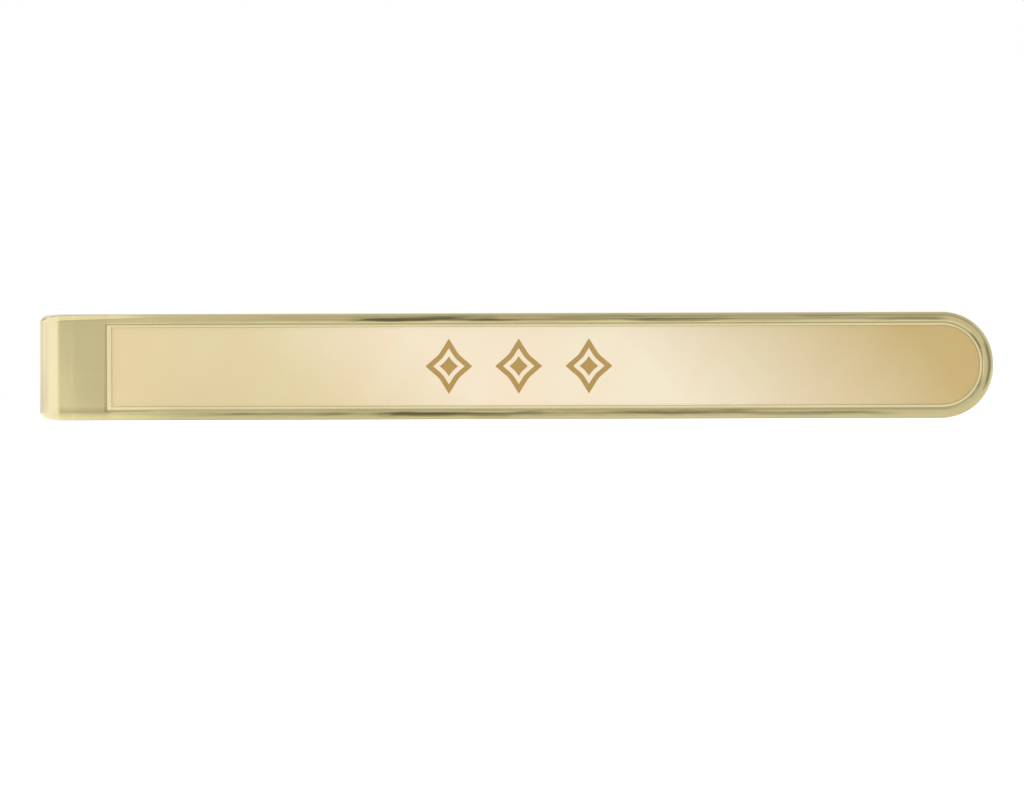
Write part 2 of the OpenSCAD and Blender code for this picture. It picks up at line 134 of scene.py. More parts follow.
class Finish:
    """A material that is built up node by node."""

    def __init__(self, name, metallic=1.0, roughness=0.3):
        self.material = bpy.data.materials.new(name)
        self.material.use_nodes = True
        self.nodes = self.material.node_tree.nodes
        self.links = self.material.node_tree.links
        self.shader = self.nodes["Principled BSDF"]
        self.shader.inputs["Metallic"].default_value = metallic
        self.shader.inputs["Roughness"].default_value = roughness
        self.place = self.add("ShaderNodeTexCoord").outputs["Object"]

    def add(self, kind, **settings):
        node = self.nodes.new(kind)
        for key, value in settings.items():
            setattr(node, key, value)
        return node

    def join(self, source, node, socket):
        self.links.new(source, node.inputs[socket])
        return node

    def value(self, operation, first, second):
        """Arithmetic on two terms, each a number or another node's value."""
        node = self.add("ShaderNodeMath", operation=operation)
        for socket, term in zip(node.inputs, (first, second)):
            if isinstance(term, (int, float)):
                socket.default_value = term
            else:
                self.links.new(term, socket)
        return node.outputs["Value"]

    def product(self, first, *others):
        for other in others:
            first = self.value("MULTIPLY", first, other)
        return first

    def swayed(self, distance, noise, sway):
        """A distance that wanders with a noise by up to a number of millimetres."""
        return self.value("ADD", distance, self.product(noise, sway * MM))

    def round_the_rim(self, lift=0.0):
        """Places that follow the rim (along, across and out from the spine), and how far out."""
        split = self.join(self.place, self.add("ShaderNodeSeparateXYZ"), "Vector")
        end_centre = (HALF_LENGTH - HALF_WIDTH) * MM
        along = self.value("MINIMUM", split.outputs["X"], end_centre)
        past = self.value("MAXIMUM", self.value("SUBTRACT", split.outputs["X"], end_centre), 0.0)
        across = self.value("SUBTRACT", split.outputs["Z"], (HALF_WIDTH + lift) * MM)
        away = self.add("ShaderNodeCombineXYZ")
        self.links.new(past, away.inputs["X"])
        self.links.new(across, away.inputs["Z"])
        length = self.add("ShaderNodeVectorMath", operation="LENGTH")
        out = self.join(away.outputs["Vector"], length, 0).outputs["Value"]
        place = self.add("ShaderNodeCombineXYZ")
        for axis, part in zip("XYZ", (along, across, out)):
            self.links.new(part, place.inputs[axis])
        return place.outputs["Vector"], out

    def rim_painted_reflections(self, place, out):
        """Painted reflections: how dark the rim's crest is, in long wisps and two short ones on the right
        end's arc.
        """
        run = self.along(RIGHTWARD, -HALF_LENGTH, HALF_LENGTH)
        upper = self.fade(UPWARD, HALF_WIDTH, UPPER_HALF)
        top = self.product(self.ramp(run, *TOP_WISPS), upper)
        bottom = self.product(self.ramp(run, *BOTTOM_WISPS), self.value("SUBTRACT", 1.0, upper))
        strength = self.value("ADD", top, bottom)
        wander = self.noise((230, 230, 230), detail=2, place=place)
        crest = self.ramp(self.spread(self.swayed(out, wander, CREST_SWAY), *CREST), *CREST_STOPS)
        strands = self.noise((160, 160, 3200), detail=3, distortion=0.8, place=place)
        dark = self.product(strength, crest, self.ramp(strands, *STRAND_STOPS))
        core = self.band(self.swayed(out, wander, CORE_SWAY), *CORE)
        dark = self.value("ADD", dark, self.product(core, strength, CORE_STRENGTH))
        outer = self.product(
            self.band(out, *OUTER_WISP), self.along(RIGHTWARD, *OUTER_WISP_START), OUTER_STRENGTH)
        inner = self.product(
            self.band(out, *INNER_WISP), self.along(RIGHTWARD, *INNER_WISP_START),
            self.along(RIGHTWARD, *INNER_WISP_END), INNER_STRENGTH)
        return self.value("MAXIMUM", dark, self.value("MAXIMUM", outer, inner))

    def crease_highlight(self, on_front):
        """A painted highlight: a faint wavering light line where the fold begins."""
        waver = self.noise((40, 1, 420), detail=2)
        run = self.swayed(self.reach(RIGHTWARD), waver, CREASE_SWAY)
        line = self.band(run, CREASE_X, CREASE_X + CREASE_WIDTH)
        return self.product(line, on_front, CREASE_STRENGTH)

    def painted_pad_lines(self, on_pad):
        """Painted shade along the pad's lower edge, and a painted dark reflection in a tick at the fold's
        upper corner.
        """
        # Painted shade along the pad's lower edge
        lower = self.product(self.band(self.reach(UPWARD), *PAD_LOWER_SHADE), on_pad, PAD_LOWER_SHADE_STRENGTH)
        # Painted reflection: a small dark tick at the fold's upper corner
        dark_tick = self.product(self.band(self.reach(ALONG_DARK_TICK), *DARK_TICK_LENGTH),
                            self.band(self.reach(ACROSS_DARK_TICK), *DARK_TICK_WIDTH))
        return self.value("MAXIMUM", lower, dark_tick)

    def band(self, distance, low, high):
        """1 half-way between two numbers of millimetres, and 0 at both and beyond."""
        half_way = (low + high) / 2
        return self.product(self.spread(distance, low, half_way), self.spread(distance, high, half_way))

    def painted_bead_highlight(self, on_front):
        """Painted highlight: pale gold on the bead that rings the plate, and a little way past it on the
        lower side, and black elsewhere.
        """
        out = self.round_the_rim()[1]
        bead_out = HALF_WIDTH - RIM_WIDTH - GROOVE_WIDTH
        bead_in = bead_out - BEAD_HIGHLIGHT_WIDTH
        inside = self.spread(out, bead_out, bead_out - SHARP_FADE)
        off_plate = self.spread(out, bead_in, bead_in + SHARP_FADE)
        closing = self.product(inside, self.fade(RIGHTWARD, RECESS_START_X, (0, -SHARP_FADE)))
        past_pad = self.fade(RIGHTWARD, PAD_END_X, BEAD_HIGHLIGHT_START)
        lower = self.fade(UPWARD, HALF_WIDTH, LOWER_HALF)
        below = self.product(self.spread(out, bead_out + BEAD_HIGHLIGHT_FADE, bead_out), lower)
        ring = self.product(self.value("MAXIMUM", inside, below), off_plate)
        bead = self.product(self.value("MAXIMUM", ring, closing), on_front, past_pad)
        return self.ramp(bead, (0, 0.0), (1, BEAD_HIGHLIGHT_GOLD))

    def stretched(self, scale, turn=(0, 0, 0), place=None):
        """A place turned, then multiplied by a scale for each axis."""
        source = place or self.place
        if any(turn):
            turned = self.add("ShaderNodeMapping")
            turned.inputs["Rotation"].default_value = [math.radians(a) for a in turn]
            source = self.join(source, turned, "Vector").outputs["Vector"]
        mapping = self.add("ShaderNodeMapping")
        mapping.inputs["Scale"].default_value = scale
        return self.join(source, mapping, "Vector").outputs["Vector"]

    def noise(self, scale, detail=2.0, distortion=0.0, turn=(0, 0, 0), place=None):
        """Noise with one blob about 1 / scale metres across on each axis."""
        noise = self.add("ShaderNodeTexNoise")
        noise.inputs["Scale"].default_value = 1.0
        noise.inputs["Detail"].default_value = detail
        noise.inputs["Distortion"].default_value = distortion
        self.join(self.stretched(scale, turn, place), noise, "Vector")
        return noise.outputs["Fac"]

    def reach(self, direction):
        """How far a place lies along a direction."""
        reach = self.add("ShaderNodeVectorMath", operation="DOT_PRODUCT")
        reach.inputs[1].default_value = direction
        self.links.new(self.place, reach.inputs[0])
        return reach.outputs["Value"]

    def along(self, direction, low, high):
        """A value from 0 to 1 between two places, in millimetres, along a direction."""
        return self.spread(self.reach(direction), low, high)

    def fade(self, direction, origin, offsets):
        """A value from 0 to 1 between two offsets from a place along a direction."""
        return self.along(direction, origin + offsets[0], origin + offsets[1])

    def spread(self, distance, low, high):
        """A value from 0 to 1 as a distance goes from one number of millimetres to another."""
        spread = self.add("ShaderNodeMapRange")
        spread.inputs["From Min"].default_value = low * MM
        spread.inputs["From Max"].default_value = high * MM
        return self.join(distance, spread, "Value").outputs["Result"]

    def ramp(self, source, *stops):
        """A colour ramp; each stop is a position and a grey or a colour."""
        ramp = self.add("ShaderNodeValToRGB")
        elements = ramp.color_ramp.elements
        while len(elements) < len(stops):
            elements.new(0.5)
        for element, (position, tone) in zip(elements, stops):
            colour = tone if isinstance(tone, tuple) else (tone,) * 3
            element.position = position
            element.color = (*colour, 1)
        self.join(source, ramp, "Fac")
        return ramp.outputs["Color"]

    def blend(self, kind, first, second, share=1.0):
        mix = self.add("ShaderNodeMix", data_type="RGBA", blend_type=kind)
        if isinstance(share, float):
            mix.inputs["Factor"].default_value = share
        else:
            self.links.new(share, mix.inputs["Factor"])
        self.links.new(first, mix.inputs["A"])
        if isinstance(second, tuple):
            mix.inputs["B"].default_value = (*second, 1)
        else:
            self.links.new(second, mix.inputs["B"])
        return mix.outputs["Result"]

    def bump(self, height, depth, under=None):
        """Bump whose height swings by about a depth in millimetres."""
        bump = self.add("ShaderNodeBump")
        bump.inputs["Distance"].default_value = depth * MM
        self.join(height, bump, "Height")
        if under:
            self.links.new(under, bump.inputs["Normal"])
        self.links.new(bump.outputs["Normal"], self.shader.inputs["Normal"])
        return bump.outputs["Normal"]

    def colour(self, source):
        self.links.new(source, self.shader.inputs["Base Color"])

    def roughness(self, source, low, high):
        spread = self.add("ShaderNodeMapRange")
        spread.inputs["To Min"].default_value = low
        spread.inputs["To Max"].default_value = high
        self.join(source, spread, "Value")
        self.links.new(spread.outputs["Result"], self.shader.inputs["Roughness"])


# Painted reflections, highlights and shade on the bar. Each pair is where a fade starts and where it ends,
# or the two
# sides of a line, in millimetres: out from the bar's spine, along the bar, or off a place.

UPPER_HALF = (-0.6, 0.6)
LOWER_HALF = (-0.5, -1.5)
CREST = (2.80, 3.37)
CREST_SWAY = 0.4
CORE = (2.80, 2.95)
CORE_SWAY = 0.12
CORE_STRENGTH = 0.5
OUTER_WISP = (2.80, 3.10)
OUTER_WISP_START = (27.9, 28.2)
OUTER_STRENGTH = 0.85
INNER_WISP = (2.54, 2.74)
INNER_WISP_START = (27.1, 27.4)
INNER_WISP_END = (28.0, 27.8)
INNER_STRENGTH = 0.75
WISP_LIFT = -0.01
CREASE_WIDTH = 0.28
CREASE_SWAY = 0.6
CREASE_STRENGTH = 0.3
PAD_LOWER_SHADE = (0.12, 0.88)
PAD_LOWER_SHADE_STRENGTH = 0.35
ALONG_DARK_TICK = (0.894, 0, 0.447)
ACROSS_DARK_TICK = (-0.447, 0, 0.894)
DARK_TICK_LENGTH = (-22.8, -22.25)
DARK_TICK_WIDTH = (17.96, 18.15)
SHARP_FADE = 0.01
BEAD_HIGHLIGHT_WIDTH = 0.2
BEAD_HIGHLIGHT_START = (0.02, 0.03)
BEAD_HIGHLIGHT_FADE = 0.22
FRONT_FADE = (0.5, 0.25)
PAD_START_FADE = (0, 0.2)
PAD_END_FADE = (0.5, 0)
FOLD_END_FADE = (0.15, -0.1)
FOLD_DEPTH_FADE = (4, 3)
INNER_HIGHLIGHT = (2.56, 2.80)
INNER_HIGHLIGHT_START = (-21, -12)
INNER_HIGHLIGHT_RISE = (0, 1)
DENTS_START = (-1, 2)

# Stops of the ramps of the rim's painted reflections: across the crest, through the strands, and along the
# rim's top and bottom
CREST_STOPS = ((0.08, 0.0), (0.24, 1.0), (0.49, 1.0), (0.70, 0.3), (0.87, 0.0))
STRAND_STOPS = ((0.42, 1.0), (0.56, 0.4))
TOP_WISPS = (
    (0.12, 0.0), (0.22, 0.25), (0.32, 0.4), (0.35, 0.85), (0.38, 1.0), (0.45, 0.85), (0.51, 0.65),
    (0.61, 0.7), (0.74, 0.4), (0.86, 0.5), (0.94, 0.62), (0.955, 0.0))
BOTTOM_WISPS = (
    (0.07, 0.1), (0.19, 0.3), (0.22, 0.6), (0.35, 0.5), (0.37, 1.0), (0.395, 1.0), (0.45, 0.85),
    (0.55, 0.55), (0.61, 0.65), (0.80, 0.5), (0.85, 0.65), (0.91, 0.0))


def polished_gold():
    """Hand-polished plating: shallow waves and hairlines, with painted reflections as dark wisps along the
    rim's crest, and painted highlights and shade on the bar's front.
    """
    gold = Finish("polished_gold")
    place, out = gold.round_the_rim(WISP_LIFT)
    on_front = gold.fade(BACKWARD, BAR_LOW.y, FRONT_FADE)
    on_pad = gold.product(
        on_front, gold.fade(RIGHTWARD, FOLD_SHINE_X, PAD_START_FADE),
        gold.fade(RIGHTWARD, PAD_END_X, PAD_END_FADE))
    on_fold = gold.product(
        gold.fade(RIGHTWARD, FOLD_SHINE_X, FOLD_END_FADE), gold.fade(BACKWARD, BAR_LOW.y, FOLD_DEPTH_FADE))
    # Painted reflections darken the rim's crest, and painted shade darkens the pad
    dark = gold.product(gold.rim_painted_reflections(place, out), on_front)
    dark = gold.value("MAXIMUM", dark, gold.painted_pad_lines(on_pad))
    # Painted highlights: a light line on the top rim's inner side, and the crease line
    light = gold.product(
        gold.band(out, *INNER_HIGHLIGHT), gold.fade(UPWARD, HALF_WIDTH, INNER_HIGHLIGHT_RISE),
        gold.along(RIGHTWARD, *INNER_HIGHLIGHT_START), on_front)
    light = gold.value("MAXIMUM", light, gold.crease_highlight(on_front))
    colour = gold.ramp(light, (0, FRAME_GOLD), (1, RIM_HIGHLIGHT))
    # Painted highlight tone: paler gold where the fold turns
    colour = gold.blend("MIX", colour, FOLD_HIGHLIGHT_GOLD, on_fold)
    # Painted shade: the pad is darkened a little
    colour = gold.blend("MULTIPLY", colour, PAD_PAINTED_SHADE, on_pad)
    colour = gold.blend("MIX", colour, PAINTED_SHADE_AND_REFLECTION, dark)
    # Painted highlight on the bead round the plate
    colour = gold.blend("LIGHTEN", colour, gold.painted_bead_highlight(on_front))
    clouds = gold.noise((150, 150, 150), detail=2)
    tarnish = gold.ramp(clouds, (0.35, (0.955, 0.955, 0.94)), (0.6, 1.0))
    gold.colour(gold.blend("MULTIPLY", colour, tarnish))
    haze = gold.noise((300, 300, 300), detail=3)
    hairlines = gold.noise((250, 9000, 9000), detail=2, distortion=0.3)
    gold.roughness(gold.blend("MULTIPLY", haze, hairlines), low=0.12, high=0.26)
    broad = gold.noise((190, 190, 260), detail=1)
    dents = gold.noise((130, 130, 900), detail=1, distortion=0.5, place=place)
    dents = gold.product(dents, gold.fade(RIGHTWARD, PAD_END_X, DENTS_START))
    first = gold.bump(broad, depth=0.012)
    second = gold.bump(dents, depth=0.010, under=first)
    gold.bump(hairlines, depth=0.0004, under=second)
    return gold.material


# The plate's painted sheen changes along a direction that leans upwards
ALONG_SHEEN = (1, 0, 0.9)
SHEEN_SHIFT = 2.8


def satin_plate():
    """Satin plate with a painted sheen: its gold runs from cream in the middle to a deep tone at the
    right, under faint diagonal bands of painted reflection.
    """
    plate = Finish("satin_plate", metallic=0.8)
    run = plate.along(ALONG_SHEEN, -HALF_LENGTH + SHEEN_SHIFT, HALF_LENGTH + SHEEN_SHIFT)
    sheen = plate.ramp(
        run, (0.08, PLATE_SHEEN_LEFT), (0.25, PLATE_SHEEN_NEAR_LEFT), (0.43, PLATE_SHEEN_MIDDLE),
        (0.64, PLATE_SHEEN_MIDDLE), (0.95, PLATE_SHEEN_RIGHT))
    # Faint diagonal bands of painted reflection
    reflection_bands = plate.noise((260, 260, 50), detail=2, turn=(0, -32, 0))
    reflection_tint = plate.ramp(reflection_bands, (0.38, (1, 0.965, 0.93)), (0.62, (0.985, 1, 0.98)))
    plate.colour(plate.blend("MULTIPLY", sheen, reflection_tint))
    grain = plate.noise((500, 9000, 26000), detail=2)
    plate.roughness(grain, low=0.30, high=0.38)
    plate.bump(grain, depth=0.0006)
    return plate.material


def stamped_gold():
    """Plating over stamped sheet, not polished: rolling lines along it and a softer sheen."""
    gold = Finish("stamped_gold")
    patches = gold.noise((160, 160, 160), detail=3)
    gold.colour(gold.ramp(patches, (0.35, CLASP_SHADE), (0.6, CLASP_GOLD)))
    lines = gold.noise((260, 11000, 11000), detail=3, distortion=0.2)
    gold.roughness(lines, low=0.16, high=0.36)
    waves = gold.noise((220, 320, 320), detail=1)
    pebbles = gold.noise((5000, 5000, 5000), detail=3)
    first = gold.bump(waves, depth=0.012)
    second = gold.bump(lines, depth=0.0012, under=first)
    gold.bump(pebbles, depth=0.0008, under=second)
    return gold.material


def engraved_floor():
    """Matt cut floor of an engraving, oxidised to ochre."""
    floor = Finish("engraved_floor", metallic=0.0, roughness=0.7)
    grit = floor.noise((9000, 9000, 9000), detail=3)
    floor.colour(floor.ramp(grit, (0.3, ENGRAVED_SHADE), (0.7, ENGRAVED_OCHRE)))
    floor.bump(grit, depth=0.002)
    return floor.material


def drawn_wire():
    """Bright spring wire with a trace of drawing lines."""
    steel = Finish("drawn_wire")
    lines = steel.noise((2500, 2500, 2500), detail=3)
    steel.colour(steel.ramp(lines, (0.3, SPRING_SHADE), (0.7, SPRING_STEEL)))
    steel.roughness(lines, low=0.22, high=0.34)
    steel.bump(lines, depth=0.001)
    return steel.material


# Modelling helpers

SLACK = 1e-3
FINE_SLACK = 1e-4
SHARP_ANGLE = math.radians(40)
SMOOTH_ANGLE = math.radians(35)
EDGE_ROUNDING = 0.05
EDGE_SEGMENTS = 2
FOLD_SEGMENTS = 5

# Shares of a face's normal
FACING = 0.99
WALL = 0.5

# A half round ends just short of 90 degrees, with a very narrow face
LAST_ANGLE = 89


def deselect_everything():
    if bpy.context.object and bpy.context.object.mode == "EDIT":
        bpy.ops.object.mode_set(mode="OBJECT")
    bpy.ops.object.select_all(action="DESELECT")


def only(piece):
    """Makes a piece the one selected and active object."""
    deselect_everything()
    piece.select_set(True)
    bpy.context.view_layer.objects.active = piece


def apply_transform():
    bpy.ops.object.transform_apply(location=True, rotation=True, scale=True)


def open_for_editing(name, size):
    """Names the new primitive, sets its size and opens it."""
    piece = bpy.context.object
    piece.name = name
    piece.scale = size
    apply_transform()
    bpy.ops.object.mode_set(mode="EDIT")
    return piece


def start_block(name, low, high):
    """A box between two corners, open for editing."""
    deselect_everything()
    low, high = Vector(low), Vector(high)
    bpy.ops.mesh.primitive_cube_add(size=1, location=(low + high) / 2)
    return open_for_editing(name, high - low)


def start_sheet(name, x_low, x_high, y, half_width):
    """A flat sheet that faces the back, open for editing."""
    deselect_everything()
    place = ((x_low + x_high) / 2, y, 0)
    bpy.ops.mesh.primitive_plane_add(size=1, location=place, rotation=(math.radians(-90), 0, 0))
    return open_for_editing(name, (x_high - x_low, 2 * half_width, 1))


def start_cylinder(name, radius, length, sides):
    """A cylinder along the bar's width, about the origin, open for editing."""
    deselect_everything()
    bpy.ops.mesh.primitive_cylinder_add(vertices=sides, radius=radius, depth=length)
    return open_for_editing(name, (1, 1, 1))


def pick(kind, test):
    """Selects the faces, edges or corners of the piece in edit mode that pass a test."""
    bpy.ops.mesh.select_mode(type=kind)
    bpy.ops.mesh.select_all(action="DESELECT")
    mesh = bpy.context.edit_object.data
    shape = bmesh.from_edit_mesh(mesh)
    elements = {"FACE": shape.faces, "EDGE": shape.edges, "VERT": shape.verts}[kind]
    found = [element for element in elements if test(element)]
    for element in found:
        element.select_set(True)
    shape.select_flush_mode()
    bmesh.update_edit_mesh(mesh)
    if not found:
        raise RuntimeError(f"nothing to pick on {bpy.context.edit_object.name}")
    return found


def pick_everything():
    bpy.ops.mesh.select_all(action="SELECT")


def near(value, target, slack=SLACK):
    return abs(value - target) < slack


def between(value, low, high):
    return low - SLACK < value < high + SLACK


def ends_at(edge, axis, value):
    """Whether both ends of an edge lie at a value on one axis."""
    return all(near(corner.co[axis], value) for corner in edge.verts)


def middle(element):
    return sum((corner.co for corner in element.verts), Vector()) / len(element.verts)


def left_of(element):
    return min(corner.co.x for corner in element.verts)


def faces_front(face, depth):
    return face.normal.y < -FACING and near(middle(face).y, depth)


def is_wall(face):
    """Whether a face stands up, seen from the front or the back."""
    return abs(face.normal.y) < WALL


def shift(x=0.0, y=0.0, z=0.0):
    bpy.ops.transform.translate(value=(x, y, z))


def extrude(x=0.0, y=0.0, z=0.0):
    bpy.ops.mesh.extrude_region_move(TRANSFORM_OT_translate={"value": (x, y, z)})


def scale(x=1.0, y=1.0, z=1.0, about=(0, 0, 0)):
    bpy.ops.transform.resize(value=(x, y, z), center_override=about)


def bevel(offset, segments, clamp=False):
    bpy.ops.mesh.bevel(offset=offset, segments=segments, clamp_overlap=clamp)


def add_cross_line(place, across):
    """Cuts a line of edges all round the piece, through a place and square to a direction."""
    pick_everything()
    bpy.ops.mesh.bisect(plane_co=place, plane_no=across)


def round_off(direction, height, steps, widths):
    """Extrudes the selection along a direction in steps that close it to a half round."""
    reached, width = 0.0, 1.0
    for step in range(1, steps + 1):
        angle = math.radians(LAST_ANGLE * step / steps)
        extrude(*(direction * (height * math.sin(angle) - reached)))
        reached = height * math.sin(angle)
        scale(**{name: math.cos(angle) / width for name in widths})
        width = math.cos(angle)


def face_outwards():
    pick_everything()
    bpy.ops.mesh.normals_make_consistent(inside=False)


def apply_modifier(piece, kind, **settings):
    only(piece)
    modifier = piece.modifiers.new(kind.lower(), kind)
    for key, value in settings.items():
        setattr(modifier, key, value)
    bpy.ops.object.modifier_apply(modifier=modifier.name)


def round_edges(piece):
    """Rounds all the sharp edges of a piece a little."""
    apply_modifier(piece, "BEVEL", width=EDGE_ROUNDING, segments=EDGE_SEGMENTS,
                   limit_method="ANGLE", angle_limit=SHARP_ANGLE, harden_normals=False)


def cut_away(piece, cutter):
    """Cuts a closed shape out of a piece, and drops the cutting shape."""
    deselect_everything()
    apply_modifier(piece, "BOOLEAN", object=cutter, operation="DIFFERENCE", solver="EXACT")
    bpy.data.objects.remove(cutter)


def finish_piece(piece, origin, body, node, material):
    """Shades a piece, sets it in the frame, parents it to what it rides on, and hides the frame's node
    that it stands for.
    """
    only(piece)
    bpy.ops.object.shade_smooth_by_angle(angle=SMOOTH_ANGLE)
    apply_modifier(piece, "WEIGHTED_NORMAL", keep_sharp=True)
    piece.scale = (MM, MM, MM)
    piece.location = origin * MM
    apply_transform()
    piece.data.materials.clear()
    piece.data.materials.append(material)
    if body:
        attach(piece, body)
    if node:
        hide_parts(node)


# Front bar

STRIP_THICKNESS = 1.0
END_FLAT = 0.25
FRONT_BEND_RADIUS = 2.1
REAR_BEND_RADIUS = 2.1
PAD_LENGTH = 4.1
RIM_WIDTH = 0.62
GROOVE_WIDTH = 0.03
GROOVE_DEPTH = 0.17
BEAD_WIDTH = 0.15
BEAD_DROP = 0.13
CLOSING_BEAD_WIDTH = 0.28
RECESS_DEPTH = 0.55
RIM_ROUNDING = 0.25
RIM_SEGMENTS = 8
RIM_INNER_ROUNDING = 0.12
RIM_INNER_SEGMENTS = 5
BEAD_ROUNDING = 0.02
BEAD_SEGMENTS = 4
PAD_ROUNDING = 0.45
PAD_TAPER = 3.0
FOLD_SHINE_WIDTH = 1.17
CREASE_OFFSET = 0.15
BACK_ROUNDING = 0.12
BACK_SEGMENTS = 3
BEND_STEPS = 24
ARC_STEPS = 44
NARROWING = 0.375
RETURN_CORNER_RADIUS = 0.8
RETURN_CORNER_STEPS = 10
RETURN_MARGIN = 0.3

BEND_START_X = -HALF_LENGTH + FRONT_BEND_RADIUS
REAR_START_X = -HALF_LENGTH + REAR_BEND_RADIUS
PAD_END_X = -HALF_LENGTH + PAD_LENGTH
FOLD_SHINE_X = -HALF_LENGTH + FOLD_SHINE_WIDTH
CREASE_X = BEND_START_X + CREASE_OFFSET
RECESS_START_X = PAD_END_X + GROOVE_WIDTH + CLOSING_BEAD_WIDTH
END_WALL = FOLD_DEPTH - FRONT_BEND_RADIUS - REAR_BEND_RADIUS
RETURN_END_X = node_corners("hinge_bracket")[1].x + RETURN_MARGIN


def front_bar(gold):
    bar = start_block(
        "front_bar_polished",
        (BEND_START_X, 0, -HALF_WIDTH), (HALF_LENGTH, STRIP_THICKNESS, HALF_WIDTH))

    # the two round corners at the right end
    pick("EDGE", lambda edge: ends_at(edge, 0, HALF_LENGTH)
         and near(middle(edge).y, STRIP_THICKNESS / 2))
    bevel(HALF_WIDTH - END_FLAT / 2, ARC_STEPS)

    # the rim, whose left side then moves to the pad's end
    pick("FACE", lambda face: faces_front(face, 0))
    bpy.ops.mesh.inset(thickness=RIM_WIDTH)
    move_left_edge(BEND_START_X + RIM_WIDTH, PAD_END_X, 0)
    slant = math.hypot(PAD_END_X - BEND_START_X, RIM_WIDTH)
    pick("EDGE", lambda edge: ends_at(edge, 1, 0) and near(edge.calc_length(), slant)
         and near(left_of(edge), BEND_START_X))
    bpy.ops.mesh.dissolve_edges(use_verts=False)
    pick("FACE", lambda face: faces_front(face, 0) and near(left_of(face), PAD_END_X)
         and face.calc_area() > HALF_LENGTH)

    # groove, bead and recess, each inset from the last
    extrude(y=GROOVE_DEPTH)
    bpy.ops.mesh.inset(thickness=GROOVE_WIDTH)
    bpy.ops.mesh.inset(thickness=BEAD_WIDTH)
    move_left_edge(PAD_END_X + GROOVE_WIDTH + BEAD_WIDTH, RECESS_START_X, GROOVE_DEPTH)
    pick("FACE", lambda face: faces_front(face, GROOVE_DEPTH)
         and near(left_of(face), RECESS_START_X))
    extrude(y=RECESS_DEPTH - GROOVE_DEPTH)
    pick("FACE", lambda face: faces_front(face, GROOVE_DEPTH) and on_bead(face))
    extrude(y=BEAD_DROP - GROOVE_DEPTH)

    # roundings: rim, pad, bead and back
    pick("EDGE", lambda edge: ends_at(edge, 1, 0) and has_wall(edge) and within_rim(edge))
    bevel(RIM_INNER_ROUNDING, RIM_INNER_SEGMENTS)
    pick("EDGE", lambda edge: ends_at(edge, 1, 0) and has_wall(edge)
         and not within_rim(edge) and not ends_at(edge, 0, BEND_START_X))
    bevel(RIM_ROUNDING, RIM_SEGMENTS)
    widen_pad_rounding()
    pick("EDGE", lambda edge: ends_at(edge, 1, BEAD_DROP))
    bevel(BEAD_ROUNDING, BEAD_SEGMENTS)
    pick("EDGE", lambda edge: ends_at(edge, 1, STRIP_THICKNESS)
         and not ends_at(edge, 0, BEND_START_X))
    bevel(BACK_ROUNDING, BACK_SEGMENTS)

    fold_strip()
    finish_piece(bar, BAR_ORIGIN, "bar", "front_bar", gold)


def move_left_edge(x, new_x, depth):
    """Moves the corners at one x, on one depth, along the bar."""
    pick("VERT", lambda corner: near(corner.co.x, x) and near(corner.co.y, depth))
    shift(x=new_x - x)


def on_bead(face):
    """Whether a face is of the bead's ring, and not of the groove round it."""
    shortest = min(edge.calc_length() for edge in face.edges)
    return shortest > GROOVE_WIDTH * 2 or face.calc_area() > HALF_LENGTH * GROOVE_WIDTH * 4


def within_rim(edge):
    """Whether an edge of the crest is nearer to the bar's spine than the rim's middle."""
    place = middle(edge)
    past = max(place.x - HALF_LENGTH + HALF_WIDTH, 0)
    return place.x > BEND_START_X + SLACK and math.hypot(past, place.z) < HALF_WIDTH - RIM_WIDTH / 2


def has_wall(edge):
    """Whether an edge of the crest has a wall below it on one side."""
    return any(is_wall(face) for face in edge.link_faces)


def widen_pad_rounding():
    """Makes the rounding of the two long edges larger towards the fold."""
    add_cross_line((PAD_END_X + PAD_TAPER, 0, 0), RIGHTWARD)
    growth = PAD_ROUNDING / RIM_ROUNDING
    for side in (-1, 1):
        pick("VERT", lambda corner: near(corner.co.x, BEND_START_X)
             and corner.co.y < RIM_ROUNDING + SLACK
             and side * corner.co.z > HALF_WIDTH - RIM_ROUNDING - SLACK)
        scale(y=growth, z=growth, about=(BEND_START_X, 0, side * HALF_WIDTH))


def fold_strip():
    """Bends the pad's end face round to the back, narrowing it more and more."""
    arc_length = math.radians(90) * (FRONT_BEND_RADIUS + REAR_BEND_RADIUS)
    fold_length = arc_length + END_WALL
    half_width = HALF_WIDTH
    folded = 0.0

    def narrow_to(next_half_width):
        nonlocal half_width
        scale(z=next_half_width / half_width)
        half_width = next_half_width

    def narrow_over(run):
        nonlocal folded
        folded += run
        narrow_to(HALF_WIDTH - NARROWING * (folded / fold_length) ** 2)

    def bend(radius, centre):
        turn = math.radians(90) / BEND_STEPS
        for _ in range(BEND_STEPS):
            bpy.ops.mesh.spin(steps=1, angle=turn, center=centre, axis=UPWARD)
            narrow_over(radius * turn)

    pick("FACE", lambda face: face.normal.x < -FACING and near(middle(face).x, BEND_START_X))
    bend(FRONT_BEND_RADIUS, (BEND_START_X, FRONT_BEND_RADIUS, 0))
    extrude(y=END_WALL)
    narrow_over(END_WALL)
    bend(REAR_BEND_RADIUS, (REAR_START_X, FRONT_BEND_RADIUS + END_WALL, 0))
    extrude(x=RETURN_END_X - RETURN_CORNER_RADIUS - REAR_START_X)

    reached = 0.0
    for step in range(1, RETURN_CORNER_STEPS + 1):
        angle = math.radians(90) * step / RETURN_CORNER_STEPS
        advance = RETURN_CORNER_RADIUS * math.sin(angle)
        extrude(x=advance - reached)
        reached = advance
        narrow_to(HALF_WIDTH - NARROWING - RETURN_CORNER_RADIUS * (1 - math.cos(angle)))


# Face plate and its engraving

